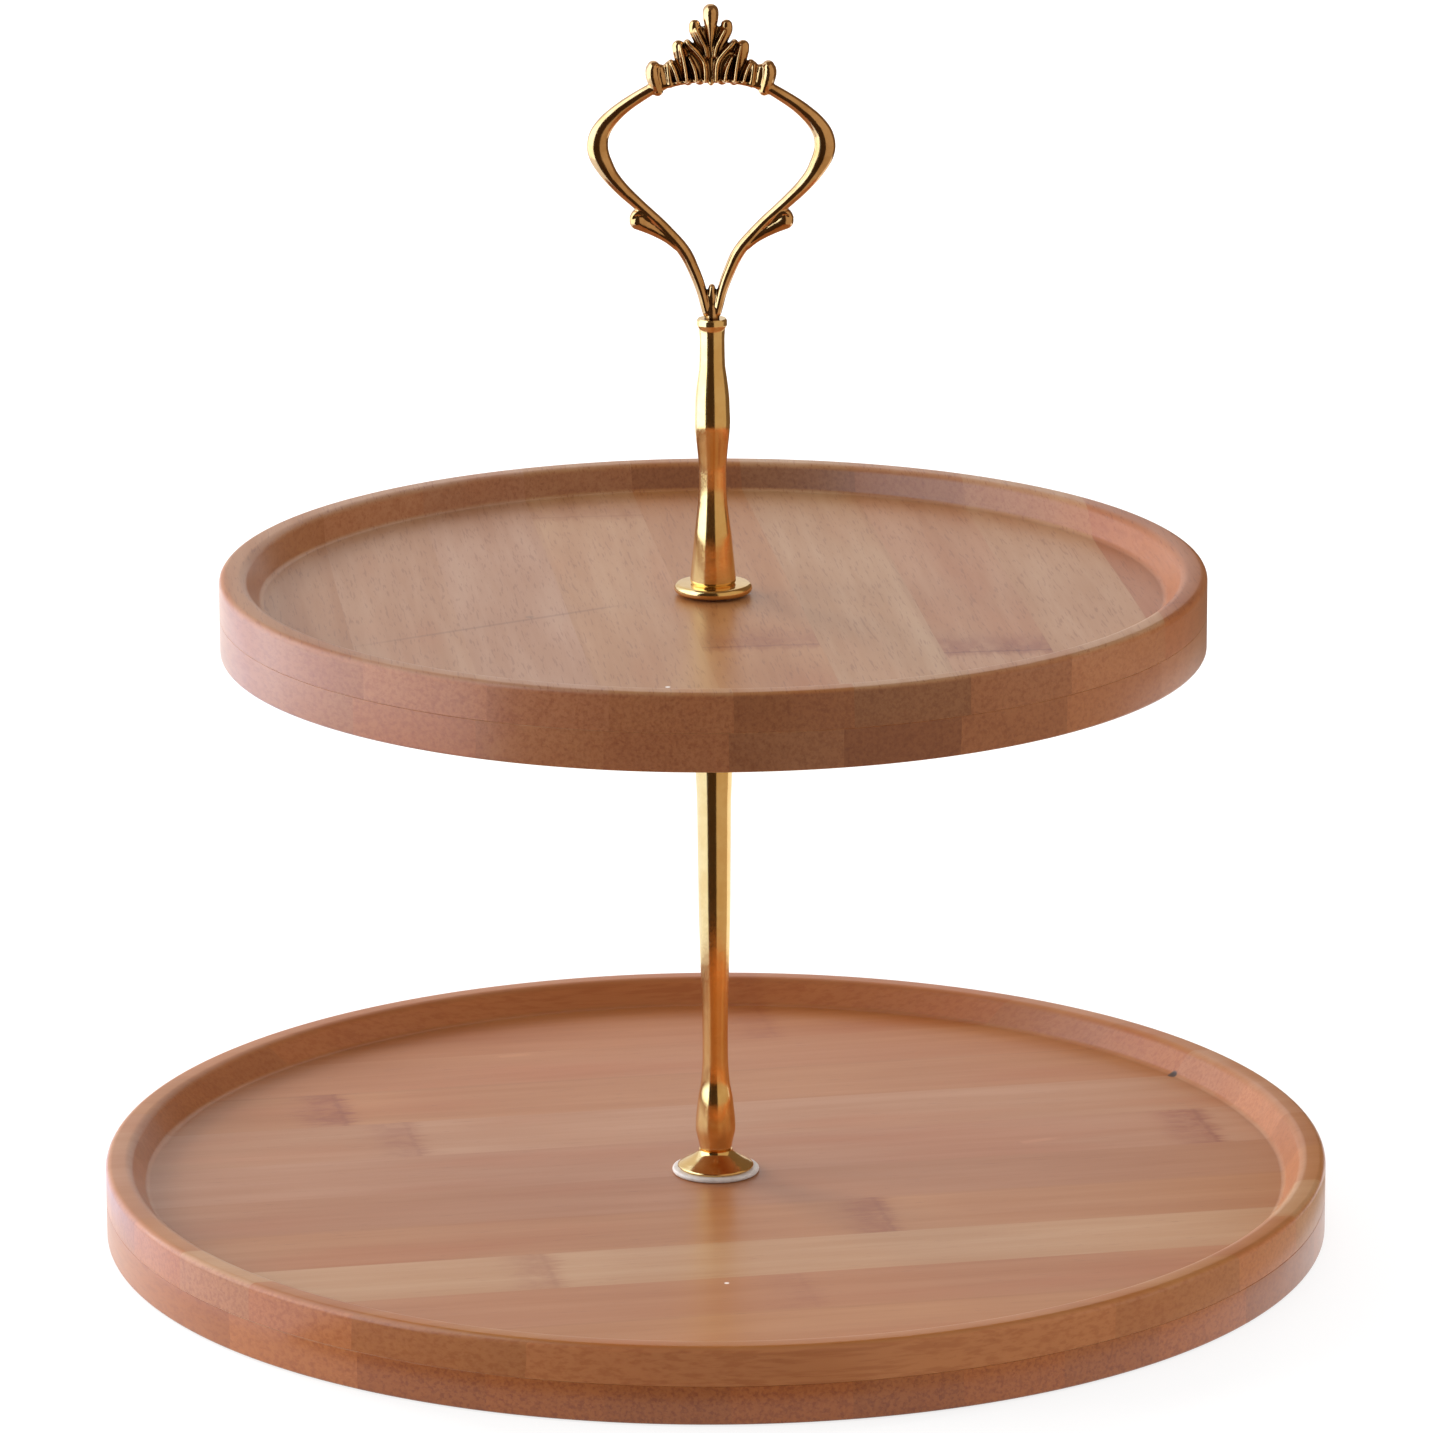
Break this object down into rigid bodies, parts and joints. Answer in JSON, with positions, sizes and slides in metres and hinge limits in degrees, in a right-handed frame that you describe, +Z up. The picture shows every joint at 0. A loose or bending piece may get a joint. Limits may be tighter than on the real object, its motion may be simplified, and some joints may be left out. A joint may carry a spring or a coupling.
{
  "type": "tiered cake stand",
  "caption": "Round bamboo trays, a small one above a large one, clamped on a slim turned gold post, with a cast ring handle topped by a palmette ornament.",
  "frame": {"origin": "centre of the lower tray's underside, which stands on the table", "axes": "+Z up along the post, +X to the right across the handle's flat face, +Y to the back"},
  "size_m": [0.25, 0.25, 0.2528],
  "materials": {
    "bamboo": "satin",
    "bamboo_dark": "satin",
    "gold": "polished",
    "antique_gold": "polished",
    "gasket": "satin",
    "steel": "satin"
  },
  "bodies": {
    "lower_tray": {"lower_tray_bottom_ply": "bamboo_dark", "lower_tray_top_ply": "bamboo", "lower_bottom_gasket": "gasket", "bottom_washer": "steel", "lower_top_gasket": "gasket"},
    "bottom_screw": {"bottom_screw": "steel"},
    "lower_post": {"lower_post": "gold", "bell_flange": "gold", "tie_stud": "steel", "under_flange": "gold", "upper_bottom_gasket": "gasket"},
    "upper_tray": {"upper_tray_bottom_ply": "bamboo_dark", "upper_tray_top_ply": "bamboo"},
    "upper_flange": {"upper_top_gasket": "gasket", "upper_flange": "gold"},
    "upper_post": {"upper_post": "gold", "crown_handle": "antique_gold"}
  },
  "joints": [
    {"name": "bottom_screw_turn", "type": "hinge", "parent": "lower_tray", "child": "bottom_screw", "pos_m": [0, 0, 0.0035], "axis": [0, 0, -1], "range_deg": [0, 3600]},
    {"name": "lower_post_lift", "type": "slide", "parent": "lower_tray", "child": "lower_post", "axis": [0, 0, 1], "range_m": [0, 0.007]},
    {"name": "upper_tray_turn", "type": "hinge", "parent": "lower_post", "child": "upper_tray", "pos_m": [0, 0, 0.1221], "axis": [0, 0, 1], "continuous": true},
    {"name": "upper_post_lift", "type": "slide", "parent": "lower_post", "child": "upper_flange", "axis": [0, 0, 1], "range_m": [0, 0.007]},
    {"name": "upper_post_turn", "type": "hinge", "parent": "upper_flange", "child": "upper_post", "pos_m": [0, 0, 0.1348], "axis": [0, 0, 1], "range_deg": [0, 3600]}
  ],
  "couplings": [
    {"joint": "bottom_screw_turn", "follows": "lower_post_lift", "rad_per_m": 8976},
    {"joint": "upper_post_lift", "follows": "upper_post_turn", "m_per_rad": 0.00011141}
  ]
}
